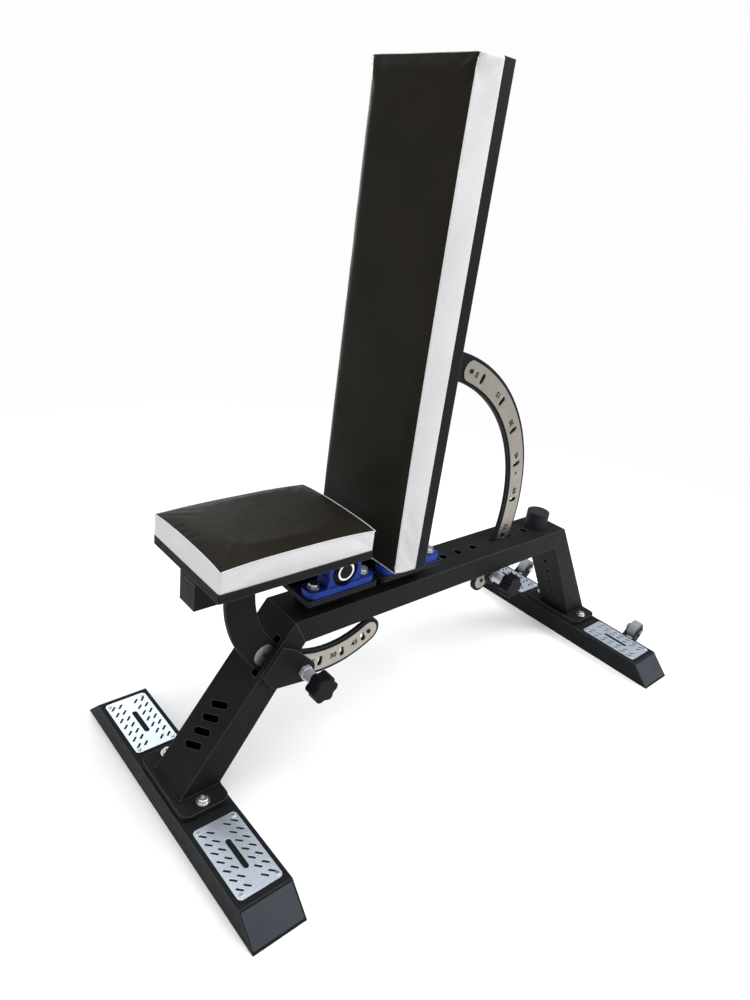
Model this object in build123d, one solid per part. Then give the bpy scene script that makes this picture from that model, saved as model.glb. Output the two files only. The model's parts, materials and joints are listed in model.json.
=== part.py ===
from build123d import *
import os
from math import cos, hypot, radians, sin

# Adjustable training bench. +Z is up and the floor is z = 0. X runs across the bench.
# Every Y below is measured from the front edge of the front foot; the seat end is the front.
# save() moves the model so that its origin is under the middle of its length.

# Feet
BAR_DEPTH = 107
BAR_HEIGHT = 50
BAR_TOP_HALF = 288
BAR_BOTTOM_HALF = 339
BAR_WALL = 4
FRONT_BAR_Y = BAR_DEPTH / 2
REAR_BAR_Y = 1290.5
BASE_PLATE = (182, 98, 14)
BASE_TOP = BAR_HEIGHT + BASE_PLATE[2]
BASE_BOLT_X = 72
TREAD_X = (113, 276)
TREAD_DEPTH = 88
TREAD_THICK = 2

# Legs and spine: knee and foot points of the folded frame, as (y, z)
FRAME_HALF = 50
FRAME_WALL = 5
SPINE_BOTTOM = 328
SPINE_TOP = 381
FRONT_FACE = ((246, SPINE_TOP), (17, BASE_TOP))
FRONT_BACK = ((274, SPINE_BOTTOM), (100, BASE_TOP))
REAR_FACE = ((1091, SPINE_BOTTOM), (1259, BASE_TOP))
REAR_BACK = ((1110, SPINE_TOP), (1335, BASE_TOP))
BUMPER_Y = 1045
BUMPER_HEIGHT = 45.4
BUMPER_R = 28.5

# Hinges
HINGE_Z = 468
SEAT_HINGE_Y = 348
BACK_HINGE_Y = 534
HINGES = (SEAT_HINGE_Y, BACK_HINGE_Y)
PLATE_BOTTOM = 415
PLATE_TOP = 425
PEDESTAL_HALF = 55
HOUSING_X = (17.6, 57.6)
HOUSING_MID = sum(HOUSING_X) / 2
HOUSING_FOOT_HALF = 80
HOUSING_FOOT_TOP = PLATE_TOP + 15
HOUSING_R = 38.5
HOUSING_BOLT = 60.5
SHAFT_R = 15
INNER_RING_R = 19
OUTER_RING_R = (26, 31)
BALL_R = 3.2
BALLS = 9
LUG_HALF = 15
LUG_R = 24

# Seat
PAD_HALF = 112.5
SEAT_Y = (40.5, 357)
TRAY_Z = (523, 540)
SEAT_TOP = 588
SHEET = 3
BEAM_HALF = 25
SEAT_BEAM_Y = (47, 298)
SEAT_BEAM_Z = (457, 507)

# Backrest, upright
BACK_PAD_Y = (412.6, 466.6)
BACK_RAIL_Y = (466.6, 492.6)
BACK_BEAM_Y = (492.6, 574.6)
BACK_Z = (474, 1337)
BACK_BEAM_Z = (558, 1290)
BACK_HALF_BOTTOM = 123.4
BACK_HALF_TOP = 118
RAIL_WIDTH = 30

# Locking arcs with slots: pitch radius, half width of plate, half width of scale
SEAT_ARC = (216, 30, 22)
BACK_ARC = (378.5, 29.5, 22)
SEAT_ARC_X = (25, 33)
BACK_ARC_X = (-6, 2)
SCALE_THICK = 2
SEAT_PIN_ANGLE = -110
BACK_PIN_ANGLE = -27.1
STEP_ANGLE = 15
SLOT_WIDTH = 11.4
SLOT_LENGTH = 24
ARC_SLOT_CLEAR = 13

# Pull pins, along X from the near face of the arc they lock
PIN_R = 5.2
PIN_CLEAR = 0.06
TIP_GAP = 2
CHEEK_THICK = 8
CHEEK_X = {"seat": 50, "backrest": 19}
CHEEK_R = 24
BARREL_R = 12.3
BARREL_END = 42
THREAD_R = 8
KNOB_R = 29
KNOB_X = (49, 77)

# Transport wheels
WHEEL_R = 26
WHEEL_HALF = 12
WHEEL_X = 203
WHEEL_Y = 1380
WHEEL_Z = 60
AXLE_R = 5
FORK_THICK = 4

LENGTH = WHEEL_Y + WHEEL_R
os.makedirs("parts", exist_ok=True)


def save(name, *solids):
    """Write one sub-part, moved so that the origin is under the middle of the bench."""
    shape = Compound([solid for piece in solids for solid in piece.solids()])
    export_step(shape.moved(Location((0, -LENGTH / 2, 0))), f"parts/{name}.step")


def plate_x(outline, x_low, x_high):
    """An outline in Y and Z, given its thickness along X."""
    return extrude(Plane.YZ.offset(x_low) * outline, x_high - x_low)


def plate_y(outline, y_low, y_high):
    """An outline in X and Z, given its thickness along Y."""
    return extrude(Plane.XZ.offset(-y_high) * outline, y_high - y_low)


def plate_z(outline, z_low, z_high):
    """An outline in X and Y, given its thickness along Z."""
    return extrude(Plane.XY.offset(z_low) * outline, z_high - z_low)


def block(x, y, z):
    """A box between its limits along each axis."""
    middle = [sum(limits) / 2 for limits in (x, y, z)]
    return Pos(*middle) * Box(x[1] - x[0], y[1] - y[0], z[1] - z[0])


def polygon(*points):
    return make_face(Polyline(*points, close=True))


def rod_x(radius, x_low, x_high, y, z):
    return plate_x(Pos(y, z) * Circle(radius), x_low, x_high)


def ring_x(outer, inner, x_low, x_high, y, z):
    return rod_x(outer, x_low, x_high, y, z) - rod_x(inner, x_low, x_high, y, z)


def rod_z(radius, z_low, z_high, x, y):
    return plate_z(Pos(x, y) * Circle(radius), z_low, z_high)


def around(hinge_y, radius, angle):
    """The point (y, z) at a radius and an angle about a hinge."""
    turn = radians(angle)
    return hinge_y + radius * cos(turn), HINGE_Z + radius * sin(turn)


def arc_band(hinge_y, radius, half_width, first, last):
    """A band about a hinge with rounded ends."""
    middle = CenterArc((hinge_y, HINGE_Z), radius, first, last - first)
    return SlotArc(middle, 2 * half_width)


def on_line(ends, z):
    """The point at height z on the line through two points."""
    (y_a, z_a), (y_b, z_b) = ends
    return y_a + (y_b - y_a) * (z - z_a) / (z_b - z_a), z


def hex_head(across_flats, z_low, z_high, x, y):
    flats = RegularPolygon(across_flats / 2, 6, major_radius=False)
    return plate_z(Pos(x, y) * flats, z_low, z_high)


# ---------------------------------------------------------------- feet

def crossbar(y):
    """A box tube with sloped ends, open at both ends."""
    outer = polygon(
        (-BAR_BOTTOM_HALF, 0), (BAR_BOTTOM_HALF, 0), (BAR_TOP_HALF, BAR_HEIGHT), (-BAR_TOP_HALF, BAR_HEIGHT)
    )
    bar = plate_y(outer, y - BAR_DEPTH / 2, y + BAR_DEPTH / 2)
    reach = BAR_BOTTOM_HALF + BAR_WALL
    side = BAR_DEPTH / 2 - BAR_WALL
    bar -= block((-reach, reach), (y - side, y + side), (BAR_WALL, BAR_HEIGHT - BAR_WALL))
    for x in (-BASE_BOLT_X, BASE_BOLT_X):
        bar -= rod_z(6.5, BAR_HEIGHT - BAR_WALL, BAR_HEIGHT, x, y)
    return bar


def bar_end(side, y):
    """The sloped plate that closes one end of a crossbar, flush with it."""
    slope = (BAR_BOTTOM_HALF - BAR_TOP_HALF) / BAR_HEIGHT
    low, high = BAR_WALL, BAR_HEIGHT - BAR_WALL
    x_low = BAR_BOTTOM_HALF - slope * low
    x_high = BAR_BOTTOM_HALF - slope * high
    outline = polygon(
        (side * x_low, low),
        (side * x_high, high),
        (side * (x_high - BAR_WALL), high),
        (side * (x_low - BAR_WALL), low),
    )
    return plate_y(outline, y - BAR_DEPTH / 2 + BAR_WALL, y + BAR_DEPTH / 2 - BAR_WALL)


def base_plate(y):
    width, depth, thick = BASE_PLATE
    plate = plate_z(Pos(0, y) * RectangleRounded(width, depth, 18), BAR_HEIGHT, BAR_HEIGHT + thick)
    for x in (-BASE_BOLT_X, BASE_BOLT_X):
        plate -= rod_z(6.5, BAR_HEIGHT, BASE_TOP, x, y)
    return plate


def base_bolt(x, y):
    """A flanged socket bolt with a domed head."""
    bolt = rod_z(6, BAR_HEIGHT - BAR_WALL - 10, BASE_TOP, x, y) + rod_z(13, BASE_TOP, BASE_TOP + 2.5, x, y)
    dome = fillet(rod_z(9.5, BASE_TOP + 2.5, BASE_TOP + 9.5, x, y).edges().sort_by(Axis.Z)[-1], 3)
    return bolt + dome - hex_head(8, BASE_TOP + 4, BASE_TOP + 9.5, x, y)


def hex_nut(radius, across_flats, z_low, z_high, x, y):
    return hex_head(across_flats, z_low, z_high, x, y) - rod_z(radius, z_low, z_high, x, y)


def tread(side, y):
    """A tread plate with two rows of slanted slots either side of a plain oval window."""
    x_mid = side * sum(TREAD_X) / 2
    outline = RectangleRounded(TREAD_X[1] - TREAD_X[0], TREAD_DEPTH, 8)
    slant = Rot(0, 0, 45 * side) * SlotOverall(15, 4.5)
    for row in (-32, -17, 17, 32):
        for column in range(-3, 4):
            outline -= Pos(21 * column, row) * slant
    outline -= SlotOverall(70, 11)
    for x in (-73, 73):
        for corner in (-36, 36):
            outline -= Pos(x, corner) * Circle(2.2)
    return plate_z(Pos(x_mid, y) * outline, BAR_HEIGHT, BAR_HEIGHT + TREAD_THICK)


def tread_screws():
    """Pan heads with their shanks, which stop at the tube wall."""
    screws = []
    for y in (FRONT_BAR_Y, REAR_BAR_Y):
        for side in (-1, 1):
            for x in (-73, 73):
                for corner in (-36, 36):
                    place = (side * sum(TREAD_X) / 2 + x, y + corner)
                    top = BAR_HEIGHT + TREAD_THICK
                    head = fillet(rod_z(4, top, top + 2.4, *place).edges().sort_by(Axis.Z)[-1], 1.2)
                    screws.append(head + rod_z(2.1, BAR_HEIGHT, top, *place))
    return screws


bar_places = (FRONT_BAR_Y, REAR_BAR_Y)
sides = (-1, 1)
nut_z = BAR_HEIGHT - BAR_WALL
save("front_crossbar", crossbar(FRONT_BAR_Y))
save("rear_crossbar", crossbar(REAR_BAR_Y))
save("crossbar_ends", *[bar_end(side, y) for y in bar_places for side in sides])
save("base_plates", *[base_plate(y) for y in bar_places])
save("base_bolts", *[base_bolt(side * BASE_BOLT_X, y) for y in bar_places for side in sides])
save("tread_plates", *[tread(side, y) for y in bar_places for side in sides])
save("tread_screws", *tread_screws())


# ---------------------------------------------------------------- legs and spine

def frame_shell():
    """The hollow side profile of both legs and the spine, before it is parted at the knees."""
    below = BASE_TOP - 40
    outer = polygon(
        on_line(FRONT_FACE, below), FRONT_FACE[0], REAR_BACK[0], on_line(REAR_BACK, below),
        on_line(REAR_FACE, below), REAR_FACE[0], FRONT_BACK[0], on_line(FRONT_BACK, below),
    )
    inner = offset(outer, -FRAME_WALL, kind=Kind.INTERSECTION)
    shell = plate_x(outer, -FRAME_HALF, FRAME_HALF)
    shell -= plate_x(inner, FRAME_WALL - FRAME_HALF, FRAME_HALF - FRAME_WALL)
    return shell - block((-FRAME_HALF, FRAME_HALF), (-100, LENGTH), (below - 1, BASE_TOP))


def part_of_frame(shell, *outline):
    return shell & plate_x(polygon(*outline), -FRAME_HALF - 1, FRAME_HALF + 1)


def leg_window(start, tilt):
    """One slanted oblong window in the front leg's face, `start` up the face from its foot."""
    (y_knee, z_knee), (y_foot, z_foot) = FRONT_FACE
    rise = hypot(y_knee - y_foot, z_knee - z_foot)
    along = ((y_knee - y_foot) / rise, (z_knee - z_foot) / rise)
    centre = Vector(0, y_foot + along[0] * start, z_foot + along[1] * start)
    face = Plane(origin=centre, x_dir=(1, 0, 0), z_dir=(0, -along[1], along[0]))
    return extrude(face * Rot(0, 0, tilt) * SlotOverall(46, 13), 15, both=True)


shell = frame_shell()
front_knee = (FRONT_FACE[0], FRONT_BACK[0])
rear_knee = (REAR_BACK[0], REAR_FACE[0])
front_leg = part_of_frame(
    shell, (-60, 0), on_line(front_knee, 500), on_line(front_knee, 300), (300, 300), (300, 0)
)
rear_leg = part_of_frame(
    shell, (LENGTH, 0), on_line(rear_knee, 500), on_line(rear_knee, 300), (1050, 300), (1050, 0)
)
spine = part_of_frame(
    shell, on_line(front_knee, 500), on_line(front_knee, 300), on_line(rear_knee, 300), on_line(rear_knee, 500)
)
# The seat's arc passes through both faces of the front leg, the backrest's through the spine.
seat_band = arc_band(SEAT_HINGE_Y, SEAT_ARC[0], SEAT_ARC[1] + ARC_SLOT_CLEAR, -160, -100)
front_leg -= plate_x(seat_band, SEAT_ARC_X[0] - 3, SEAT_ARC_X[1] + 6)
for step in range(4):
    front_leg -= leg_window(88 + 30 * step, 25)
back_band = arc_band(BACK_HINGE_Y, BACK_ARC[0], BACK_ARC[1] + 10, -50, 10)
spine -= plate_x(back_band, BACK_ARC_X[0] - 4, BACK_ARC_X[1] + 6)
for y in (695, 745, 798, 996):
    spine -= rod_z(10, SPINE_TOP - 10, SPINE_TOP, 0, y)
rear_slope = Vector(0, *REAR_FACE[1]) - Vector(0, *REAR_FACE[0])
rear_plane = Plane(origin=(0, *REAR_FACE[0]), x_dir=(1, 0, 0), z_dir=rear_slope.normalized().cross(Vector(1, 0, 0)))
for step in range(5):
    centre = Vector(0, *REAR_FACE[0]) + rear_slope.normalized() * (91 + 48 * step)
    hole = Plane(origin=centre, x_dir=(1, 0, 0), z_dir=rear_plane.z_dir)
    rear_leg -= extrude(hole * Circle(6.5), 12, both=True)
save("front_leg", front_leg)
save("rear_leg", rear_leg)
save("spine", spine)
bumper = Pos(0, BUMPER_Y, SPINE_TOP + BUMPER_HEIGHT / 2) * Cylinder(BUMPER_R, BUMPER_HEIGHT)
save("bumper", fillet(bumper.edges().sort_by(Axis.Z)[-1], 1.5))


# ---------------------------------------------------------------- bearings

def pedestal(hinge_y):
    half = PEDESTAL_HALF
    tube = block((-25, 25), (hinge_y - half, hinge_y + half), (SPINE_TOP, PLATE_BOTTOM))
    inside = half - FRAME_WALL
    return tube - block((-20, 20), (hinge_y - inside, hinge_y + inside), (SPINE_TOP, PLATE_BOTTOM))


def bolt_places(hinge_y):
    return [(side * HOUSING_MID, hinge_y + end * HOUSING_BOLT) for side in sides for end in sides]


def bearing_plate(hinge_y):
    plate = plate_z(Pos(0, hinge_y) * RectangleRounded(120, 170, 6), PLATE_BOTTOM, PLATE_TOP)
    for place in bolt_places(hinge_y):
        plate -= rod_z(6.5, PLATE_BOTTOM, PLATE_TOP, *place)
    return plate


def housing(side, hinge_y):
    """A pillow block: a rounded foot, sloped shoulders and a round head with the bearing's bore."""
    low, high = sorted(side * x for x in HOUSING_X)
    width = high - low
    foot = plate_z(
        Pos((low + high) / 2, hinge_y) * RectangleRounded(width, 2 * HOUSING_FOOT_HALF, 15),
        PLATE_TOP,
        HOUSING_FOOT_TOP,
    )
    shoulder = polygon(
        (hinge_y - 46, PLATE_TOP), (hinge_y - 36, HINGE_Z - 10), (hinge_y + 36, HINGE_Z - 10), (hinge_y + 46, PLATE_TOP)
    )
    head = plate_x(shoulder + Pos(hinge_y, HINGE_Z) * Circle(HOUSING_R), low + 2.5, high - 2.5)
    block_body = foot + head - rod_x(OUTER_RING_R[1], low, high, hinge_y, HINGE_Z)
    for place in bolt_places(hinge_y):
        block_body -= rod_z(6.5, PLATE_TOP, HOUSING_FOOT_TOP, *place)
    return block_body


def inner_ring(side, hinge_y):
    low, high = sorted(side * x for x in (HOUSING_X[0] + 1.5, HOUSING_X[1]))
    return ring_x(INNER_RING_R, SHAFT_R, low, high, hinge_y, HINGE_Z)


def outer_ring(side, hinge_y):
    low, high = sorted(side * x for x in (HOUSING_MID - 11, HOUSING_MID + 11))
    groove = Pos(side * HOUSING_MID, hinge_y, HINGE_Z) * Rot(0, 90, 0) * Torus(pitch_r, BALL_R)
    return ring_x(OUTER_RING_R[1], OUTER_RING_R[0], low, high, hinge_y, HINGE_Z) - groove


def balls(side, hinge_y):
    turns = [360 / BALLS * step for step in range(BALLS)]
    return [Pos(side * HOUSING_MID, *around(hinge_y, pitch_r, turn)) * Sphere(BALL_R - 0.05) for turn in turns]


def seals(side, hinge_y):
    """A thin shield each side of the balls, clear of the turning ring."""
    pair = []
    for x in (HOUSING_MID - 12.5, HOUSING_MID + 11):
        low, high = sorted((side * x, side * (x + 1.5)))
        pair.append(ring_x(OUTER_RING_R[1], INNER_RING_R + 0.3, low, high, hinge_y, HINGE_Z))
    return pair


def housing_bolt(x, y):
    head_z = HOUSING_FOOT_TOP + 2.5
    return hex_head(18, head_z, head_z + 7.5, x, y) + rod_z(6, PLATE_BOTTOM - 14, head_z, x, y)


def washer(x, y):
    return rod_z(12, HOUSING_FOOT_TOP, HOUSING_FOOT_TOP + 2.5, x, y) - rod_z(
        6.2, HOUSING_FOOT_TOP, HOUSING_FOOT_TOP + 2.5, x, y
    )


pitch_r = (INNER_RING_R + OUTER_RING_R[0]) / 2
bearings = [(side, hinge_y) for hinge_y in HINGES for side in sides]
bolts = [place for hinge_y in HINGES for place in bolt_places(hinge_y)]
for body, hinge_y in (("seat", SEAT_HINGE_Y), ("backrest", BACK_HINGE_Y)):
    save(f"{body}_bearing_plate", bearing_plate(hinge_y))
    save(f"{body}_housings", housing(-1, hinge_y), housing(1, hinge_y))
    save(f"{body}_inner_rings", inner_ring(-1, hinge_y), inner_ring(1, hinge_y))
    save(f"{body}_shaft", rod_x(SHAFT_R, -HOUSING_X[1], HOUSING_X[1], hinge_y, HINGE_Z))
save("bearing_pedestals", *[pedestal(hinge_y) for hinge_y in HINGES])
save("bearing_outer_rings", *[outer_ring(*bearing) for bearing in bearings])
save("bearing_balls", *[ball for bearing in bearings for ball in balls(*bearing)])
save("bearing_seals", *[seal for bearing in bearings for seal in seals(*bearing)])
save("housing_bolts", *[housing_bolt(*place) for place in bolts])
save("housing_washers", *[washer(*place) for place in bolts])
frame_nuts = [hex_nut(6, 18, PLATE_BOTTOM - 10, PLATE_BOTTOM, *place) for place in bolts]
frame_nuts += [hex_nut(6, 18, nut_z - 10, nut_z, side * BASE_BOLT_X, y) for y in bar_places for side in sides]
save("frame_nuts", *frame_nuts)


# ---------------------------------------------------------------- locking arcs

def slot_holes(hinge_y, pin_radius, first, count):
    """Radial slots, one for each stop, starting with the level one."""
    slots = Sketch()
    for step in range(count):
        angle = first + STEP_ANGLE * step
        slots += Pos(*around(hinge_y, pin_radius, angle)) * Rot(0, 0, angle) * SlotOverall(SLOT_LENGTH, SLOT_WIDTH)
    return slots


def rivets(hinge_y, radius, x_low, x_high, angles):
    """Flat rivets through the scale and the plate."""
    made = []
    for angle in angles:
        place = around(hinge_y, radius, angle)
        shank = rod_x(3, x_low, x_high, *place)
        made.append(shank + rod_x(5, x_low - 1.5, x_low, *place) + rod_x(5, x_high, x_high + 1.5, *place))
    return made


def rivet_holes(hinge_y, radius, angles):
    return [Pos(*around(hinge_y, radius, angle)) * Circle(3) for angle in angles]


seat_ends = (-136.5, -60.5)
seat_slots = slot_holes(SEAT_HINGE_Y, 217, SEAT_PIN_ANGLE, 4)
seat_plate = arc_band(SEAT_HINGE_Y, SEAT_ARC[0], SEAT_ARC[1], -180, seat_ends[1])
arm_y = [SEAT_HINGE_Y - SEAT_ARC[0] + side * SEAT_ARC[1] for side in sides]
arm = polygon((arm_y[0], HINGE_Z), (arm_y[1], HINGE_Z), (arm_y[1], TRAY_Z[0]), (arm_y[0], TRAY_Z[0]))
seat_plate = seat_plate + arm - seat_slots
seat_scale = arc_band(SEAT_HINGE_Y, SEAT_ARC[0], SEAT_ARC[2], *seat_ends) - seat_slots
for hole in rivet_holes(SEAT_HINGE_Y, SEAT_ARC[0], seat_ends):
    seat_plate -= hole
    seat_scale -= hole
scale_x = (SEAT_ARC_X[1], SEAT_ARC_X[1] + SCALE_THICK)
save("seat_arc", plate_x(seat_plate, *SEAT_ARC_X))
save("seat_scale", plate_x(seat_scale, *scale_x))
save("seat_scale_rivets", *rivets(SEAT_HINGE_Y, SEAT_ARC[0], SEAT_ARC_X[0], scale_x[1], seat_ends))

back_ends = (-31.2, 69.6)
back_slots = slot_holes(BACK_HINGE_Y, 377, BACK_PIN_ANGLE, 7)
back_plate = arc_band(BACK_HINGE_Y, BACK_ARC[0], BACK_ARC[1], back_ends[0], 88) - back_slots
back_plate -= polygon(
    (BACK_BEAM_Y[1], HINGE_Z), (BACK_BEAM_Y[1], 1000), (BACK_BEAM_Y[0] - 100, 1000), (BACK_BEAM_Y[0] - 100, HINGE_Z)
)
back_scale = arc_band(BACK_HINGE_Y, BACK_ARC[0], BACK_ARC[2], *back_ends) - back_slots
back_scale -= Pos(*around(BACK_HINGE_Y, 376, 14)) * Circle(3.5)
for hole in rivet_holes(BACK_HINGE_Y, BACK_ARC[0], back_ends):
    back_plate -= hole
    back_scale -= hole
scale_x = (BACK_ARC_X[1], BACK_ARC_X[1] + SCALE_THICK)
save("backrest_arc", plate_x(back_plate, *BACK_ARC_X))
save("backrest_scale", plate_x(back_scale, *scale_x))
save("backrest_scale_rivets", *rivets(BACK_HINGE_Y, BACK_ARC[0], BACK_ARC_X[0], scale_x[1], back_ends))


# ---------------------------------------------------------------- pull pins

def cheek(pin, anchor, x_low):
    """The plate that carries a pull pin: a round end joined to its anchor outline."""
    edges = (Pos(*pin) * Circle(CHEEK_R)).edges() + polygon(*anchor).edges()
    return plate_x(make_hull(edges), x_low, x_low + CHEEK_THICK) - rod_x(
        THREAD_R, x_low, x_low + CHEEK_THICK, *pin
    )


def barrel(pin, x_low):
    """Threaded end, hex boss and round barrel, bored for the pin and its spring."""
    outside = x_low + CHEEK_THICK
    boss = plate_x(Pos(*pin) * RegularPolygon(13.5, 6, major_radius=False), outside, outside + 8)
    tube = rod_x(BARREL_R, outside + 8, x_low + BARREL_END, *pin)
    body = rod_x(THREAD_R, x_low, outside, *pin) + boss + chamfer(tube.edges().sort_by(Axis.X)[-1], 1)
    body -= rod_x(PIN_R + PIN_CLEAR, x_low, x_low + BARREL_END, *pin)
    return body - rod_x(7.6, x_low + 12, x_low + BARREL_END - 4, *pin)


def spring(pin, x_low):
    """The plunger's spring, closed up against the barrel's outer end."""
    coil_start = x_low + BARREL_END - 13
    path = Helix(2.6, 7.8, 6.4, center=(coil_start, *pin), direction=(1, 0, 0))
    return sweep(Plane(origin=path @ 0, z_dir=path % 0) * Circle(0.6), path=path)


def pull_pin(pin, tip_x, x_low):
    """The locking pin, with the collar that its spring pushes on."""
    rod = rod_x(PIN_R, tip_x, x_low + KNOB_X[0] + 19, *pin)
    rod = chamfer(rod.edges().sort_by(Axis.X)[0], 1)
    return rod + rod_x(7.3, x_low + 25.5, x_low + 28, *pin)


def knob(pin, x_low):
    """A six-lobed grip, hollow at the back so that it slides over the barrel."""
    outline = Circle(KNOB_R - 5)
    for lobe in range(6):
        outline += Rot(0, 0, 60 * lobe) * Pos(KNOB_R - 10, 0) * Circle(10)
    outline = fillet(outline.vertices(), 3)
    near, far = x_low + KNOB_X[0], x_low + KNOB_X[1]
    grip = plate_x(Pos(*pin) * outline, near, far)
    grip = chamfer(grip.edges().group_by(Axis.X)[-1], 2)
    return grip - rod_x(BARREL_R + 1.2, near, near + 9, *pin) - rod_x(PIN_R, near, near + 19, *pin)


seat_pin = around(SEAT_HINGE_Y, 217, SEAT_PIN_ANGLE)
back_pin = around(BACK_HINGE_Y, 377, BACK_PIN_ANGLE)
leg_anchor = (on_line(FRONT_FACE, 341), (250, 322), (200, 250), on_line(FRONT_FACE, 285))
spine_anchor = ((back_pin[0] - 26, SPINE_BOTTOM), (back_pin[0] + 26, SPINE_BOTTOM), (back_pin[0], SPINE_BOTTOM - 6))
pins = (
    ("seat", seat_pin, leg_anchor, SEAT_ARC_X[1] + SCALE_THICK + TIP_GAP),
    ("backrest", back_pin, spine_anchor, BACK_ARC_X[1] + SCALE_THICK + TIP_GAP),
)
for body, pin, anchor, tip_x in pins:
    save(f"{body}_pin_cheek", cheek(pin, anchor, CHEEK_X[body]))
    save(f"{body}_pin_barrel", barrel(pin, CHEEK_X[body]))
    save(f"{body}_pull_pin", pull_pin(pin, tip_x, CHEEK_X[body]))
    save(f"{body}_knob", knob(pin, CHEEK_X[body]))
save("plunger_springs", *[spring(pin, CHEEK_X[body]) for body, pin, anchor, tip_x in pins])


# ---------------------------------------------------------------- seat

def box_tube(x, y, z, along, wall=SHEET):
    """A box tube, open at both ends along one axis."""
    limits = [x, y, z]
    inside = [(low, high) if axis == along else (low + wall, high - wall) for axis, (low, high) in enumerate(limits)]
    return block(*limits) - block(*inside)


def plug(x, y, z, along, wall=SHEET):
    """A pair of square plugs, flush in the ends of a box tube."""
    made = []
    for end in (0, 1):
        limits = [(low + wall, high - wall) for low, high in (x, y, z)]
        low, high = (x, y, z)[along]
        limits[along] = (low, low + wall) if end == 0 else (high - wall, high)
        made.append(block(*limits))
    return made


seat_beam_limits = ((-BEAM_HALF, BEAM_HALF), SEAT_BEAM_Y, SEAT_BEAM_Z)
save("seat_beam", box_tube(*seat_beam_limits, along=1))
save("seat_beam_caps", *plug(*seat_beam_limits, along=1))
lug_outline = Pos(SEAT_HINGE_Y, HINGE_Z) * Circle(LUG_R) + polygon(
    (SEAT_BEAM_Y[1], SEAT_BEAM_Z[0]),
    (SEAT_HINGE_Y, HINGE_Z - LUG_R),
    (SEAT_HINGE_Y + LUG_R, HINGE_Z),
    (SEAT_Y[1] - 10, TRAY_Z[0]),
    (SEAT_BEAM_Y[1], TRAY_Z[0]),
)
shaft_hole = Pos(SEAT_HINGE_Y, HINGE_Z) * Circle(SHAFT_R)
save("seat_lug", plate_x(lug_outline - shaft_hole, -LUG_HALF, LUG_HALF))
member_z = (SEAT_BEAM_Z[1], TRAY_Z[0])
mount_frame = block((-BEAM_HALF, BEAM_HALF), SEAT_BEAM_Y, member_z)
for y in (60, 250):
    mount_frame += block((-88, 88), (y, y + 32), member_z)
save("seat_mount_frame", mount_frame)
tray = block((-PAD_HALF, PAD_HALF), SEAT_Y, TRAY_Z)
board_limits = (
    (SHEET - PAD_HALF, PAD_HALF - SHEET), (SEAT_Y[0] + SHEET, SEAT_Y[1] - SHEET), (TRAY_Z[0] + SHEET, TRAY_Z[1])
)
save("seat_tray", fillet(tray.edges().filter_by(Axis.Z), 3) - block(*board_limits))
save("seat_board", block(*board_limits))
cushion = block((-PAD_HALF, PAD_HALF), SEAT_Y, (TRAY_Z[1], SEAT_TOP))
upper_edges = cushion.faces().sort_by(Axis.Z)[-1].edges()
save("seat_pad", fillet(upper_edges, 15))


# ---------------------------------------------------------------- backrest

def half_width(z):
    """Half the backrest's width at a height: it narrows slightly towards the top."""
    share = (z - BACK_Z[0]) / (BACK_Z[1] - BACK_Z[0])
    return BACK_HALF_BOTTOM + (BACK_HALF_TOP - BACK_HALF_BOTTOM) * share


def side_rail(side):
    low, high = BACK_Z
    wide = [half_width(z) for z in (low, high)]
    outer = polygon(
        *[(side * x, z) for x, z in (
            (wide[0] - RAIL_WIDTH, low), (wide[0], low), (wide[1], high), (wide[1] - RAIL_WIDTH, high)
        )]
    )
    inner = polygon(
        *[(side * x, z) for x, z in (
            (wide[0] - RAIL_WIDTH + SHEET, low), (wide[0] - SHEET, low),
            (wide[1] - SHEET, high), (wide[1] - RAIL_WIDTH + SHEET, high),
        )]
    )
    y_low, y_high = BACK_RAIL_Y
    return plate_y(outer, y_low, y_high) - plate_y(inner, y_low + SHEET, y_high - SHEET)


def rail_plug(side, end):
    """The plug in one end of a side rail."""
    z = BACK_Z[end]
    z_limits = (z, z + SHEET) if end == 0 else (z - SHEET, z)
    wide = min(half_width(limit) for limit in z_limits) - SHEET
    narrow = max(half_width(limit) for limit in z_limits) - RAIL_WIDTH + SHEET
    low, high = sorted((side * narrow, side * wide))
    return block((low, high), (BACK_RAIL_Y[0] + SHEET, BACK_RAIL_Y[1] - SHEET), z_limits)


def end_rail(z_low, z_high):
    """A rail across the frame, its ends following the side rails."""
    outline = polygon(
        *[(side * (half_width(z) - RAIL_WIDTH), z) for side, z in ((-1, z_low), (1, z_low), (1, z_high), (-1, z_high))]
    )
    return plate_y(outline, BACK_RAIL_Y[1] - 12, BACK_RAIL_Y[1])


beam_limits = ((-BEAM_HALF, BEAM_HALF), BACK_BEAM_Y, BACK_BEAM_Z)
rail_levels = ((BACK_Z[0], BACK_Z[0] + 40), (BACK_Z[1] - 40, BACK_Z[1]))
save("backrest_side_rails", side_rail(-1), side_rail(1))
save("backrest_end_rails", *[end_rail(*levels) for levels in (rail_levels[0], (880, 920), rail_levels[1])])
tube_caps = plug(*beam_limits, along=2) + [rail_plug(side, end) for side in sides for end in (0, 1)]
save("backrest_tube_caps", *tube_caps)
save("backrest_beam", box_tube(*beam_limits, along=2))
board = polygon(
    *[(side * (half_width(z) - RAIL_WIDTH), z) for side, z in (
        (-1, BACK_Z[0]), (1, BACK_Z[0]), (1, BACK_Z[1]), (-1, BACK_Z[1])
    )]
)
save("backrest_board", plate_y(board, BACK_RAIL_Y[0], BACK_RAIL_Y[1] - 12))
back_lug = Pos(BACK_HINGE_Y, HINGE_Z) * Circle(LUG_R) + polygon(
    (BACK_BEAM_Y[0], BACK_BEAM_Z[0]),
    (BACK_BEAM_Y[0], BACK_Z[0] + 10),
    (BACK_HINGE_Y - LUG_R, HINGE_Z),
    (BACK_HINGE_Y + LUG_R, HINGE_Z),
    (BACK_BEAM_Y[1], BACK_BEAM_Z[0]),
)
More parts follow.
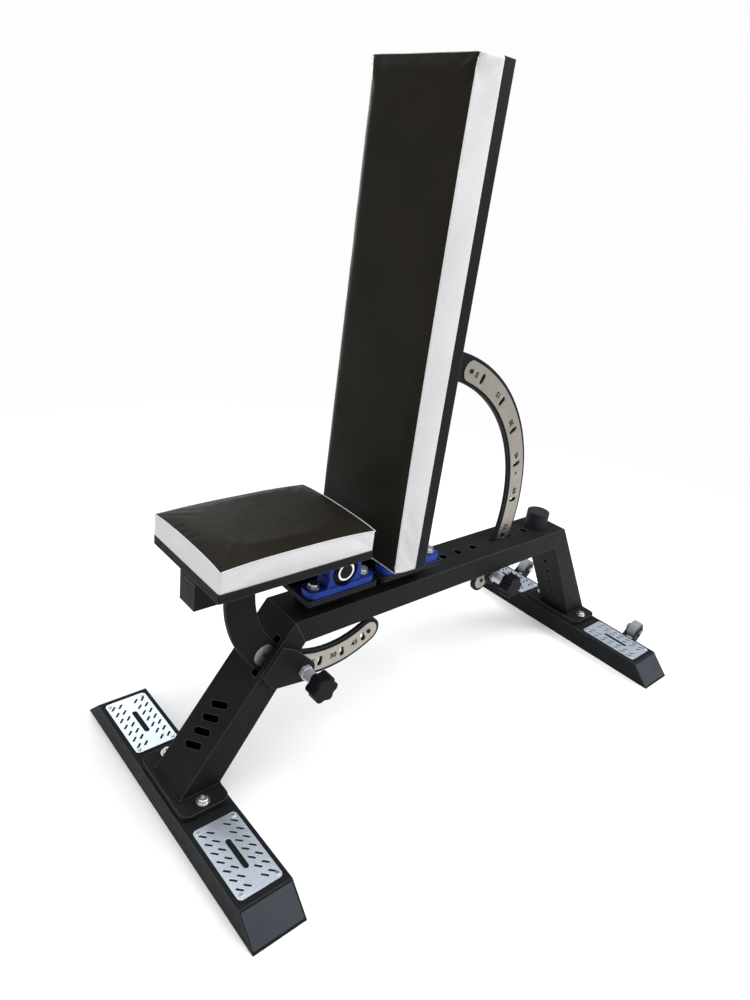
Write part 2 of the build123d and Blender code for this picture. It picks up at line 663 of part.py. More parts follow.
shaft_hole = Pos(BACK_HINGE_Y, HINGE_Z) * Circle(SHAFT_R)
save("backrest_lug", plate_x(back_lug - shaft_hole, -LUG_HALF, LUG_HALF))
pad_outline = polygon(
    *[(side * half_width(z), z) for side, z in (
        (-1, BACK_Z[0]), (1, BACK_Z[0]), (1, BACK_Z[1]), (-1, BACK_Z[1])
    )]
)
back_cushion = plate_y(pad_outline, *BACK_PAD_Y)
front_edges = back_cushion.faces().sort_by(Axis.Y)[0].edges()
save("backrest_pad", fillet(front_edges, 12))


# ---------------------------------------------------------------- transport wheels

def fork(side):
    """Two ears and the web that joins them to the rear foot."""
    x_mid = side * WHEEL_X
    ear = make_hull(
        (Pos(WHEEL_Y, WHEEL_Z) * Circle(14)).edges()
        + polygon((bar_back, 8), (bar_back, 48), (bar_back + FORK_THICK, 48), (bar_back + FORK_THICK, 8)).edges()
    )
    gap = WHEEL_HALF + 1.5
    made = block((x_mid - gap, x_mid + gap), (bar_back, bar_back + FORK_THICK), (8, 48))
    for inner in (-gap - FORK_THICK, gap):
        made += plate_x(ear, x_mid + inner, x_mid + inner + FORK_THICK)
    return made - rod_x(AXLE_R, x_mid - 30, x_mid + 30, WHEEL_Y, WHEEL_Z)


def wheel(side):
    x_mid = side * WHEEL_X
    tyre = rod_x(WHEEL_R, x_mid - WHEEL_HALF, x_mid + WHEEL_HALF, WHEEL_Y, WHEEL_Z)
    tyre = fillet(tyre.edges(), 2)
    for x in (x_mid - WHEEL_HALF, x_mid + WHEEL_HALF - 3):
        tyre -= ring_x(20, 10, x, x + 3, WHEEL_Y, WHEEL_Z)
    return tyre - rod_x(AXLE_R + 0.06, x_mid - WHEEL_HALF, x_mid + WHEEL_HALF, WHEEL_Y, WHEEL_Z)


def hex_x(across_flats, x_low, x_high):
    return plate_x(
        Pos(WHEEL_Y, WHEEL_Z) * RegularPolygon(across_flats / 2, 6, major_radius=False), *sorted((x_low, x_high))
    )


def axle_bolt(side):
    face = side * (WHEEL_X + WHEEL_HALF + 1.5 + FORK_THICK)
    inner = side * (WHEEL_X - WHEEL_HALF - 1.5 - FORK_THICK - 8)
    return hex_x(16, face, face + side * 6) + rod_x(AXLE_R, *sorted((face, inner)), WHEEL_Y, WHEEL_Z)


def axle_nut(side):
    face = side * (WHEEL_X - WHEEL_HALF - 1.5 - FORK_THICK)
    limits = sorted((face, face - side * 7))
    return hex_x(16, *limits) - rod_x(AXLE_R, *limits, WHEEL_Y, WHEEL_Z)


bar_back = REAR_BAR_Y + BAR_DEPTH / 2
save("wheel_forks", fork(-1), fork(1))
save("wheel_axle_bolts", axle_bolt(-1), axle_bolt(1))
save("wheel_axle_nuts", axle_nut(-1), axle_nut(1))
save("left_wheel", wheel(-1))
save("right_wheel", wheel(1))
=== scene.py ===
import json
from math import cos, pi, radians, sin

import bmesh
import bpy
from mathutils import Matrix, Vector, noise


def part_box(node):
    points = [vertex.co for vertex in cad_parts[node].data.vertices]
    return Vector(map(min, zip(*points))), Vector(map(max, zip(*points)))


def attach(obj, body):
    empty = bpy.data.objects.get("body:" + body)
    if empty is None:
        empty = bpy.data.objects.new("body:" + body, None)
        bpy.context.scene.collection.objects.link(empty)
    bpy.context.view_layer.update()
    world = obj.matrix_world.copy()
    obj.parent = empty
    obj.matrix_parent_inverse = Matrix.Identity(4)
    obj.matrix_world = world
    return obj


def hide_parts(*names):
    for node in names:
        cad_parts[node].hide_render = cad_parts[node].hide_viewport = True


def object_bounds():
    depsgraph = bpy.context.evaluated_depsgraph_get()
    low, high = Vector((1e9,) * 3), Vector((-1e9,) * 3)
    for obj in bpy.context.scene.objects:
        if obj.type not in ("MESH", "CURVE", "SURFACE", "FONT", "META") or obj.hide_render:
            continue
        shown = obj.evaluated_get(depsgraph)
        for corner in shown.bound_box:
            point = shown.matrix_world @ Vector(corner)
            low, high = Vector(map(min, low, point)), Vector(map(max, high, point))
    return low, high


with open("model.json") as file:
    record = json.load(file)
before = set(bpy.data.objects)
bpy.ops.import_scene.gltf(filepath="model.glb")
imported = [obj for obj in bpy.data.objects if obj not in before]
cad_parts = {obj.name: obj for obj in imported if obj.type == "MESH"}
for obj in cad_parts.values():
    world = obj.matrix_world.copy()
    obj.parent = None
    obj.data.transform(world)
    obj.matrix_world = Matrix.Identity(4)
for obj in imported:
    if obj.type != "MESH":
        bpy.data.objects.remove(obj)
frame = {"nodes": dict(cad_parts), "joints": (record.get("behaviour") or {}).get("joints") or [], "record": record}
CAD_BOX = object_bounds()
MM = 0.001
FRONT_EDGE = CAD_BOX[0].y
JOINTS = {joint["name"]: joint for joint in frame["joints"]}


# ---------------------------------------------------------------- camera and studio

CAMERA_PLACE = Vector((924.36 * MM, FRONT_EDGE - 448.68 * MM, 1149.3 * MM))
CAMERA_AZIMUTH = 45.77
CAMERA_ELEVATION = 24.04
CAMERA_ROLL = 8.35
CAMERA_LENS = 25.61
BENCH_MIDDLE = Vector((0, 0, 0.45))
BACKDROP_WHITE = (0.985, 0.985, 0.985, 1)
FLOOR_FADE = (0.9, 2.4)


def add_camera():
    """Azimuth 0 looks along +Y, a positive elevation looks down, and roll tips the picture."""
    azimuth, elevation, roll = (radians(a) for a in (CAMERA_AZIMUTH, CAMERA_ELEVATION, CAMERA_ROLL))
    back = Vector((sin(azimuth) * cos(elevation), -cos(azimuth) * cos(elevation), sin(elevation)))
    right = (-back).cross(Vector((0, 0, 1))).normalized()
    up = right.cross(-back)
    across = right * cos(roll) + up * sin(roll)
    upward = -right * sin(roll) + up * cos(roll)
    camera = bpy.data.objects.new("camera", bpy.data.cameras.new("camera"))
    camera.data.lens = CAMERA_LENS
    camera.data.sensor_width = 36
    camera.data.clip_end = 200
    turn = Matrix((across, upward, back)).transposed().to_4x4()
    camera.matrix_world = Matrix.Translation(CAMERA_PLACE) @ turn
    bpy.context.scene.collection.objects.link(camera)
    bpy.context.scene.camera = camera


def add_light(name, place, size, power):
    """A square white softbox that faces the bench."""
    light = bpy.data.objects.new(name, bpy.data.lights.new(name, "AREA"))
    light.data.size = size
    light.data.energy = power
    light.location = place
    aim = BENCH_MIDDLE - Vector(place)
    light.rotation_euler = aim.to_track_quat("-Z", "Y").to_euler()
    bpy.context.scene.collection.objects.link(light)


def add_studio():
    scene = bpy.context.scene
    scene.view_settings.view_transform = "Standard"
    world = bpy.data.worlds.new("studio")
    scene.world = world
    world.use_nodes = True
    tree = world.node_tree
    tree.nodes.clear()
    out = tree.nodes.new("ShaderNodeOutputWorld")
    ambient = tree.nodes.new("ShaderNodeBackground")
    ambient.inputs["Color"].default_value = (0.92, 0.96, 1.0, 1)
    ambient.inputs["Strength"].default_value = 0.4
    seen = tree.nodes.new("ShaderNodeBackground")
    seen.inputs["Color"].default_value = BACKDROP_WHITE
    path = tree.nodes.new("ShaderNodeLightPath")
    mix = tree.nodes.new("ShaderNodeMixShader")
    tree.links.new(path.outputs["Is Camera Ray"], mix.inputs["Fac"])
    tree.links.new(ambient.outputs[0], mix.inputs[1])
    tree.links.new(seen.outputs[0], mix.inputs[2])
    tree.links.new(mix.outputs[0], out.inputs["Surface"])
    add_light("key", (1.7, 2.4, 2.7), 1.8, 88)
    add_light("top", (0.5, -0.4, 3.4), 2.6, 96)
    add_light("front_fill", (-0.3, -3.0, 1.8), 2.4, 24)
    add_light("left_fill", (-2.8, 0.2, 1.7), 2.2, 24)


def add_floor():
    """A pale floor that fades to the backdrop's white a few metres out."""
    mesh = bpy.data.meshes.new("floor")
    floor = bpy.data.objects.new("floor", mesh)
    bm = bmesh.new()
    bmesh.ops.create_circle(bm, cap_ends=True, segments=96, radius=60)
    bm.to_mesh(mesh)
    bm.free()
    bpy.context.scene.collection.objects.link(floor)
    nodes = Nodes("floor")
    distance = nodes.add("ShaderNodeVectorMath", operation="LENGTH")
    nodes.link(nodes.coords(), distance.inputs[0])
    fade = nodes.map_range(distance.outputs["Value"], *FLOOR_FADE, 0, 1)
    grain = nodes.noise(8, 3)
    tone = nodes.ramp(grain, (0.93, 0.93, 0.935), (0.96, 0.96, 0.96))
    nodes.link(tone, nodes.shader.inputs["Base Color"])
    nodes.shader.inputs["Roughness"].default_value = 0.85
    glow = nodes.add("ShaderNodeEmission")
    glow.inputs["Color"].default_value = BACKDROP_WHITE
    mix = nodes.add("ShaderNodeMixShader")
    nodes.link(fade, mix.inputs["Fac"])
    nodes.link(nodes.shader.outputs[0], mix.inputs[1])
    nodes.link(glow.outputs[0], mix.inputs[2])
    nodes.link(mix.outputs[0], nodes.output.inputs["Surface"])
    mesh.materials.append(nodes.material)


# ---------------------------------------------------------------- material tools

class Nodes:
    """A procedural material and short names for the nodes it is built from."""

    def __init__(self, name, roughness=0.5, metallic=0.0):
        self.material = bpy.data.materials.new(name)
        self.material.use_nodes = True
        self.tree = self.material.node_tree
        self.tree.nodes.clear()
        self.output = self.add("ShaderNodeOutputMaterial")
        self.shader = self.add("ShaderNodeBsdfPrincipled")
        self.shader.inputs["Roughness"].default_value = roughness
        self.shader.inputs["Metallic"].default_value = metallic
        self.link(self.shader.outputs[0], self.output.inputs["Surface"])
        self.object_coords = None

    def add(self, kind, **settings):
        node = self.tree.nodes.new(kind)
        for key, value in settings.items():
            setattr(node, key, value)
        return node

    def link(self, source, target):
        self.tree.links.new(source, target)

    def coords(self, stretch=None):
        """The piece's own coordinates in metres, stretched where a finish has a direction."""
        if self.object_coords is None:
            self.object_coords = self.add("ShaderNodeTexCoord").outputs["Object"]
        if stretch is None:
            return self.object_coords
        mapping = self.add("ShaderNodeMapping")
        mapping.inputs["Scale"].default_value = stretch
        self.link(self.object_coords, mapping.inputs["Vector"])
        return mapping.outputs[0]

    def noise(self, scale, detail=4, stretch=None):
        node = self.add("ShaderNodeTexNoise")
        node.inputs["Scale"].default_value = scale
        node.inputs["Detail"].default_value = detail
        self.link(self.coords(stretch), node.inputs["Vector"])
        return node.outputs["Fac"]

    def cells(self, scale, feature="F1"):
        node = self.add("ShaderNodeTexVoronoi", feature=feature)
        node.inputs["Scale"].default_value = scale
        self.link(self.coords(), node.inputs["Vector"])
        return node.outputs["Distance"]

    def ramp(self, source, first, last, start=0.3, end=0.7):
        node = self.add("ShaderNodeValToRGB")
        node.color_ramp.elements[0].position = start
        node.color_ramp.elements[0].color = (*first, 1)
        node.color_ramp.elements[1].position = end
        node.color_ramp.elements[1].color = (*last, 1)
        self.link(source, node.inputs[0])
        return node.outputs["Color"]

    def map_range(self, source, low, high, to_low, to_high):
        node = self.add("ShaderNodeMapRange")
        for name, value in (("From Min", low), ("From Max", high), ("To Min", to_low), ("To Max", to_high)):
            node.inputs[name].default_value = value
        self.link(source, node.inputs["Value"])
        return node.outputs["Result"]

    def mix_colour(self, factor, first, second):
        node = self.add("ShaderNodeMix", data_type="RGBA")
        self.link(factor, node.inputs[0])
        self.put(node.inputs[6], first)
        self.put(node.inputs[7], second)
        return node.outputs[2]

    def put(self, socket, value):
        if isinstance(value, bpy.types.NodeSocket):
            self.link(value, socket)
        else:
            socket.default_value = (*value, 1)

    def bump(self, height, distance, strength=1.0, normal=None):
        node = self.add("ShaderNodeBump")
        node.inputs["Strength"].default_value = strength
        node.inputs["Distance"].default_value = distance
        self.link(height, node.inputs["Height"])
        if normal is not None:
            self.link(normal, node.inputs["Normal"])
        return node.outputs["Normal"]

    def rounded(self, radius):
        """Normals as if every sharp edge were rounded, and a mask of those edges."""
        bevel = self.add("ShaderNodeBevel", samples=6)
        bevel.inputs["Radius"].default_value = radius
        flat = self.add("ShaderNodeNewGeometry").outputs["Normal"]
        dot = self.add("ShaderNodeVectorMath", operation="DOT_PRODUCT")
        self.link(bevel.outputs[0], dot.inputs[0])
        self.link(flat, dot.inputs[1])
        edge = self.map_range(dot.outputs["Value"], 0.995, 0.86, 0, 1)
        return bevel.outputs[0], edge


def set_inputs(nodes, **values):
    """Uniform values on the shader's own sockets, with underscores for the spaces in their names."""
    for name, value in values.items():
        nodes.shader.inputs[name.replace("_", " ")].default_value = value


def powder_coat(name="powder_coat", dark=(0.0085, 0.009, 0.0098), light=(0.0135, 0.0142, 0.0154)):
    """Fine-textured black powder coat, with a paler painted highlight along its edges and creases."""
    nodes = Nodes(name)
    normal, edge = nodes.rounded(2.2 * MM)
    base = nodes.ramp(nodes.noise(14, 5), dark, light)
    speck = nodes.ramp(nodes.cells(900), light, dark, 0.05, 0.5)
    body = nodes.mix_colour(nodes.noise(420, 2), base, speck)
    # Painted highlight: edges and creases mixed towards a paler grey, standing in for light caught by rounded
    # edges.
    nodes.link(nodes.mix_colour(edge, body, (0.085, 0.088, 0.092)), nodes.shader.inputs["Base Color"])
    nodes.link(nodes.map_range(nodes.noise(60, 4), 0.3, 0.7, 0.48, 0.6), nodes.shader.inputs["Roughness"])
    grain = nodes.noise(1400, 2)
    nodes.link(nodes.bump(grain, 0.12 * MM, 0.35, normal), nodes.shader.inputs["Normal"])
    set_inputs(nodes, Specular_IOR_Level=0.06)
    return nodes.material


def metal(name, dark, light, roughness, brushed=None, scale=30, metallic=1.0):
    """A metal with tone and roughness variation; `brushed` stretches its fine lines."""
    nodes = Nodes(name, metallic=metallic)
    normal, edge = nodes.rounded(0.6 * MM)
    lines = nodes.noise(scale * 12, 3, brushed) if brushed else nodes.noise(scale * 12, 3)
    cloud = nodes.ramp(nodes.noise(scale, 4), dark, light)
    tone = nodes.mix_colour(lines, cloud, light)
    # Painted highlight: edges and creases mixed towards a brighter tone, standing in for light caught by rounded
    # edges.
    bright = tuple(min(1, value * 1.25) for value in light)
    nodes.link(nodes.mix_colour(edge, tone, bright), nodes.shader.inputs["Base Color"])
    low, high = roughness
    nodes.link(nodes.map_range(lines, 0.3, 0.7, low, high), nodes.shader.inputs["Roughness"])
    nodes.link(nodes.bump(lines, 0.04 * MM, 0.4, normal), nodes.shader.inputs["Normal"])
    return nodes.material


def housing_enamel():
    """Thick glossy blue enamel over a sand-cast surface, with a paler painted highlight along its edges and
    creases.
    """
    nodes = Nodes("housing_enamel")
    normal, edge = nodes.rounded(2.2 * MM)
    tone = nodes.ramp(nodes.noise(22, 5), (0.005, 0.022, 0.2), (0.01, 0.038, 0.3))
    # Painted highlight: edges and creases mixed towards a paler blue, standing in for light caught by rounded
    # edges.
    nodes.link(nodes.mix_colour(edge, tone, (0.03, 0.08, 0.5)), nodes.shader.inputs["Base Color"])
    nodes.link(nodes.map_range(nodes.noise(90, 3), 0.3, 0.7, 0.28, 0.46), nodes.shader.inputs["Roughness"])
    lumps = nodes.noise(260, 5)
    nodes.link(nodes.bump(lumps, 0.5 * MM, 0.5, normal), nodes.shader.inputs["Normal"])
    set_inputs(nodes, Specular_IOR_Level=0.1, Coat_Weight=0.04, Coat_Roughness=0.2)
    return nodes.material


def plastic(
    name, dark, light, roughness=(0.3, 0.45), grain=900, depth=0.06 * MM, radius=1.2 * MM, gloss=0.16
):
    """Moulded plastic or rubber; `gloss` is the strength of its reflection."""
    nodes = Nodes(name)
    set_inputs(nodes, Specular_IOR_Level=gloss)
    normal, edge = nodes.rounded(radius)
    tone = nodes.ramp(nodes.noise(35, 4), dark, light)
    # Painted highlight: edges and creases mixed towards a much paler tone, standing in for the light rim caught on
    # rounded edges.
    painted_edge_highlight = tuple(min(1, value * 2.2 + 0.01) for value in light)
    nodes.link(nodes.mix_colour(edge, tone, painted_edge_highlight), nodes.shader.inputs["Base Color"])
    nodes.link(nodes.map_range(nodes.noise(120, 3), 0.3, 0.7, *roughness), nodes.shader.inputs["Roughness"])
    nodes.link(nodes.bump(nodes.noise(grain, 2), depth, 0.5, normal), nodes.shader.inputs["Normal"])
    return nodes.material


def vinyl(name, dark, light, roughness, sheen=0.0, gloss=0.2):
    """Upholstery vinyl: pebbled leather grain, soft tone clouds and faint creases."""
    nodes = Nodes(name)
    pebbles = nodes.cells(720, "SMOOTH_F1")
    fine = nodes.noise(1500, 3)
    cloud = nodes.ramp(nodes.noise(7, 5), dark, light)
    pore = nodes.map_range(pebbles, 0.25, 0.75, 0, 0.35)
    deeper = tuple(value * 0.72 for value in dark)
    nodes.link(nodes.mix_colour(pore, cloud, deeper), nodes.shader.inputs["Base Color"])
    low, high = roughness
    nodes.link(nodes.map_range(nodes.noise(40, 4), 0.3, 0.7, low, high), nodes.shader.inputs["Roughness"])
    grain = nodes.bump(pebbles, 0.16 * MM, 0.4)
    skin = nodes.bump(fine, 0.05 * MM, 0.3, grain)
    creases = nodes.noise(26, 5, (1, 1, 2.2))
    nodes.link(nodes.bump(creases, 1.2 * MM, 0.25, skin), nodes.shader.inputs["Normal"])
    set_inputs(nodes, Sheen_Weight=sheen, Sheen_Roughness=0.4, Specular_IOR_Level=gloss)
    return nodes.material


def plywood():
    """Pale veneer with stretched grain."""
    nodes = Nodes("plywood")
    grain = nodes.noise(40, 6, (9, 9, 1))
    nodes.link(nodes.ramp(grain, (0.3, 0.19, 0.095), (0.52, 0.37, 0.2)), nodes.shader.inputs["Base Color"])
    nodes.link(nodes.map_range(grain, 0.3, 0.7, 0.55, 0.75), nodes.shader.inputs["Roughness"])
    nodes.link(nodes.bump(grain, 0.2 * MM, 0.5), nodes.shader.inputs["Normal"])
    return nodes.material


# ---------------------------------------------------------------- mesh tools

def new_piece(name, body, material, mesh, smooth=True):
    """Put a finished mesh in the scene, riding on its body."""
    piece = bpy.data.objects.new(name, mesh)
    bpy.context.scene.collection.objects.link(piece)
    if not mesh.materials:
        mesh.materials.append(material)
    for face in mesh.polygons:
        face.use_smooth = smooth
    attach(piece, body)
    return piece


def mesh_from(name, bm):
    mesh = bpy.data.meshes.new(name)
    bmesh.ops.recalc_face_normals(bm, faces=bm.faces)
    bm.to_mesh(mesh)
    bm.free()
    return mesh


def tube_along(bm, points, radii, sides=8, closed=False):
    """A tube through points, one radius for each; its ends are capped unless it closes on itself."""
    rings = []
    side = None
    count = len(points)
    for index, point in enumerate(points):
        after = points[(index + 1) % count] if closed else points[min(index + 1, count - 1)]
        before = points[index - 1] if closed else points[max(index - 1, 0)]
        along = (after - before).normalized()
        side = along.orthogonal() if side is None else side - along * side.dot(along)
        side.normalize()
        other = along.cross(side)
        turns = [2 * pi * k / sides for k in range(sides)]
        rings.append([bm.verts.new(point + (side * cos(t) + other * sin(t)) * radii[index]) for t in turns])
    last = count if closed else count - 1
    for index in range(last):
        ring, following = rings[index], rings[(index + 1) % count]
        for k in range(sides):
            bm.faces.new((ring[k], ring[(k + 1) % sides], following[(k + 1) % sides], following[k]))
    if not closed:
        bm.faces.new(rings[0][::-1])
        bm.faces.new(rings[-1])


def sampled(corners, step, closed=False):
    """Evenly spaced points along straight runs between corners."""
    points = []
    ends = list(zip(corners, corners[1:] + corners[:1] if closed else corners[1:]))
    for start, end in ends:
        count = max(2, round((end - start).length / step))
        points += [start.lerp(end, k / count) for k in range(count)]
    return points if closed else points + [corners[-1]]


def weld(name, body, runs, radius=2.6 * MM, closed=False):
    """Weld beads: rippled, slightly uneven tubes laid along joints."""
    bm = bmesh.new()
    for run in runs:
        points = sampled([Vector(corner) for corner in run], 1.1 * MM, closed)
        radii = []
        for index, point in enumerate(points):
            ripple = 0.86 + 0.14 * abs(sin(index * pi / 4))
            radii.append(radius * ripple * (1 + 0.18 * noise.noise(point * 90)))
        tube_along(bm, points, radii, closed=closed)
    return new_piece(name, body, MATERIALS["black_coat"], mesh_from(name, bm))


# ---------------------------------------------------------------- cushions

CLOTH_FRAMES = 20
PIPING_RADIUS = 0.9 * MM
STITCH_INSET = 4 * MM
STITCH_LENGTH = 2.6 * MM
MEETING_GAP = 2 * MM

def grid_cushion(low, high, step, panel_axis, panel_sign, narrow=0.0):
    """A box of square cells: its unfinished mesh, the panel's faces, the seam in order and the base.

    `narrow` pulls each long side in by that much from the cushion's low end to its high end.
    """
    counts = [max(4, round((high[a] - low[a]) / step)) for a in range(3)]
    bm = bmesh.new()
    known = {}

    def vertex(i, j, k):
        key = (i, j, k)
        if key not in known:
            share = [n / c for n, c in zip(key, counts)]
            place = Vector([low[a] + (high[a] - low[a]) * share[a] for a in range(3)])
            place.x *= 1 - narrow * share[2] / max(abs(low[0]), abs(high[0])) if narrow else 1
            known[key] = bm.verts.new(place)
        return known[key]

    panel = []
    for axis in range(3):
        a, b = [other for other in range(3) if other != axis]
        for end in (0, counts[axis]):
            for p in range(counts[a]):
                for q in range(counts[b]):
                    corners = []
                    for dp, dq in ((0, 0), (1, 0), (1, 1), (0, 1)):
                        key = [0, 0, 0]
                        key[axis], key[a], key[b] = end, p + dp, q + dq
                        corners.append(vertex(*key))
                    face = bm.faces.new(corners)
                    if axis == panel_axis and (end > 0) == (panel_sign > 0):
                        panel.append(face)
    a, b = [other for other in range(3) if other != panel_axis]
    level = counts[panel_axis] if panel_sign > 0 else 0
    path = [(p, 0) for p in range(counts[a])]
    path += [(counts[a], q) for q in range(counts[b])]
    path += [(counts[a] - p, counts[b]) for p in range(counts[a])]
    path += [(0, counts[b] - q) for q in range(counts[b])]
    seam = []
    for p, q in path:
        key = [0, 0, 0]
        key[panel_axis], key[a], key[b] = level, p, q
        seam.append(known[tuple(key)])
    base_level = 0 if panel_sign > 0 else counts[panel_axis]
    base = [v for key, v in known.items() if key[panel_axis] == base_level]
    return bm, panel, seam, base


def inflate(cushion, held, cap):
    """Blow the cushion up with the cloth solver, and let no point go further than the cap."""
    mesh = cushion.data
    group = cushion.vertex_groups.new(name="held")
    for weight, indices in held:
        group.add(indices, weight, "REPLACE")
    cloth = cushion.modifiers.new("cloth", "CLOTH")
    settings = cloth.settings
    settings.quality = 5
    settings.mass = 0.3
    settings.tension_stiffness = 18
    settings.compression_stiffness = 18
    settings.bending_stiffness = 0.8
    settings.use_pressure = True
    settings.uniform_pressure_force = 4
    settings.effector_weights.gravity = 0
    settings.vertex_group_mass = "held"
    cloth.point_cache.frame_start = 1
    cloth.point_cache.frame_end = CLOTH_FRAMES
    rest = [v.co.copy() for v in mesh.vertices]
    for number in range(1, CLOTH_FRAMES + 1):
        bpy.context.scene.frame_set(number)
    graph = bpy.context.evaluated_depsgraph_get()
    swollen = [v.co.copy() for v in cushion.evaluated_get(graph).data.vertices]
    cushion.modifiers.clear()
    cushion.vertex_groups.clear()
    bpy.context.scene.frame_set(1)
    for vertex, old, new in zip(mesh.vertices, rest, swollen):
        move = new - old
        vertex.co = old + move * min(1, cap / max(move.length, 1e-9))


def pinch_corners(bm, low, high, axis, sign, drop):
    """Pull the panel down towards its corners, where the cover is stretched hardest."""
    a, b = [other for other in range(3) if other != axis]
    for vertex in bm.verts:
        share = [abs(2 * (vertex.co[k] - low[k]) / (high[k] - low[k]) - 1) for k in (a, b)]
        depth = (vertex.co[axis] - low[axis]) / (high[axis] - low[axis])
        corner = (min(1, share[0]) * min(1, share[1])) ** 2.5
        vertex.co[axis] -= sign * drop * corner * (depth if sign > 0 else 1 - depth)


def upholster(name, node, body, panel_axis, panel_sign, step, sink, inset, cap, pinch, narrow=0.0):
    """A foam pad: dark panel, pale side band, piped seam and a row of stitches.

    Before it is blown up, the pad is smaller than the CAD one by `sink` at its panel and `inset` round
    its sides. `cap` is how far the cover may swell, and `pinch` how far its corners are pulled down.
    """
    low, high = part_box(node)
    low, high = low.copy(), high.copy()
    for axis in range(3):
        if axis != panel_axis:
            low[axis] += inset
            high[axis] -= inset
    if panel_sign > 0:
        high[panel_axis] -= sink
    else:
        low[panel_axis] += sink
    bm, panel, seam, base = grid_cushion(low, high, step, panel_axis, panel_sign, narrow)
    pinch_corners(bm, low, high, panel_axis, panel_sign, pinch)
    bmesh.ops.recalc_face_normals(bm, faces=bm.faces)
    for face in bm.faces:
        face.material_index = 1
        face.smooth = True
    for face in panel:
        face.material_index = 0
    bm.verts.index_update()
    seam_indices = [v.index for v in seam]
    base_indices = [v.index for v in base]
    mesh = bpy.data.meshes.new(name)
    bm.to_mesh(mesh)
    bm.free()
    mesh.materials.append(MATERIALS["vinyl_dark"])
    mesh.materials.append(MATERIALS["vinyl_pale"])
    cushion = bpy.data.objects.new(name, mesh)
    bpy.context.scene.collection.objects.link(cushion)
    inflate(cushion, ((1.0, base_indices), (0.25, seam_indices)), cap)
    ruffle(mesh, set(base_indices))
    hold_back(mesh, node, body)
    path = [mesh.vertices[index].co.copy() for index in seam_indices]
    crease_seam(mesh, seam_indices, base_indices)
    subdivide_once(cushion)
    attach(cushion, body)
    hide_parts(node)
    middle = (low + high) / 2
    outward = Vector([panel_sign if axis == panel_axis else 0 for axis in range(3)])
    piping(name + "_piping", body, path)
    stitches(name + "_stitches", body, path, middle, outward)


def hold_back(mesh, node, body):
    """Keep the covers apart where the raised seat nearly meets the backrest's lower end."""
    low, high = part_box(node)
    for vertex in mesh.vertices:
        if body == "seat":
            vertex.co.y = min(vertex.co.y, high.y - MEETING_GAP)
        else:
            free = min(1, max(0, (vertex.co.z - low.z - 90 * MM) / (130 * MM)))
            vertex.co.y = max(vertex.co.y, low.y + 1.5 * MM - 12 * MM * free)


def ruffle(mesh, held):
    """Small uneven creases, as stretched vinyl has."""
    normals = [v.normal.copy() for v in mesh.vertices]
    for vertex, normal in zip(mesh.vertices, normals):
        if vertex.index in held:
            continue
        wave = noise.noise(vertex.co * 17) * 0.8 + noise.noise(vertex.co * 60) * 0.18
        vertex.co += normal * wave * 0.7 * MM


def crease_seam(mesh, seam, base):
    """Keep the seam and the base's rim crisp through subdivision."""
    seam_set, base_set = set(seam), set(base)
    crease = mesh.attributes.new("crease_edge", "FLOAT", "EDGE")
    beyond = [face for face in mesh.polygons if not set(face.vertices) <= base_set]
    rim = {index for face in beyond for index in face.vertices} & base_set
    for edge in mesh.edges:
        ends = set(edge.vertices)
        if ends <= seam_set:
            crease.data[edge.index].value = 0.75
        elif ends <= rim:
            crease.data[edge.index].value = 0.5


def subdivide_once(piece):
    modifier = piece.modifiers.new("finer", "SUBSURF")
    modifier.levels = 1
    modifier.render_levels = 1
    graph = bpy.context.evaluated_depsgraph_get()
    finer = bpy.data.meshes.new_from_object(piece.evaluated_get(graph))
    piece.modifiers.clear()
    piece.data = finer


def piping(name, body, path):
    """The thin folded edge of the band, standing along the seam."""
    bm = bmesh.new()
    tube_along(bm, path, [PIPING_RADIUS] * len(path), sides=6, closed=True)
    new_piece(name, body, MATERIALS["vinyl_pale"], mesh_from(name, bm))


def stitches(name, body, path, middle, outward):
    """A row of short thread stitches on the panel, just inside the seam."""
    bm = bmesh.new()
    count = len(path)
    for index in range(count):
        point, following = path[index], path[(index + 1) % count]
        inward = middle - point
        inward = (inward - outward * inward.dot(outward)).normalized()
        along = (following - point).normalized()
        across = (inward - along * inward.dot(along)).normalized()
        start = point + across * STITCH_INSET + outward * 0.55 * MM + along * 0.8 * MM
        end = start + along * STITCH_LENGTH
        arched = [start, (start + end) / 2 + outward * 0.15 * MM, end]
        tube_along(bm, arched, [0.3 * MM, 0.45 * MM, 0.3 * MM], 5)
    new_piece(name, body, MATERIALS["thread"], mesh_from(name, bm))


# ---------------------------------------------------------------- scale numbers

DIGIT_SIZE = 17 * MM
SCALE_STEP = 15
SEAT_MARK_RADIUS = 216 * MM
SEAT_FIRST_SLOT = -110
BACK_MARK_RADIUS = 378 * MM
BACK_FIRST_SLOT = 62.9

def scale_number(text, body, joint, radius, angle, face_x):
    """A number on a scale, reading along the arc with its top towards the hinge."""
    curve = bpy.data.curves.new("digits", "FONT")
    curve.body = text
    curve.size = DIGIT_SIZE
    curve.align_x = "CENTER"
    curve.align_y = "CENTER"
    curve.extrude = 0.25 * MM
    curve.offset = 0.5 * MM
    curve.resolution_u = 4
    holder = bpy.data.objects.new("digits", curve)
    bpy.context.scene.collection.objects.link(holder)
    bpy.context.view_layer.update()
    mesh = bpy.data.meshes.new_from_object(holder.evaluated_get(bpy.context.evaluated_depsgraph_get()))
    bpy.data.objects.remove(holder)
    turn = radians(angle)
    hinge = Vector(JOINTS[joint]["pos_m"])
    baseline = Vector((0, -sin(turn), cos(turn)))
    inward = Vector((0, -cos(turn), -sin(turn)))
    place = Vector((face_x, hinge.y + radius * cos(turn), hinge.z + radius * sin(turn)))
    axes = Matrix((baseline, inward, baseline.cross(inward))).transposed().to_4x4()
    mesh.transform(Matrix.Translation(place) @ axes)
    mesh.materials.clear()
    new_piece(f"{body}_mark_{text}", body, MATERIALS["ink"], mesh, smooth=False)


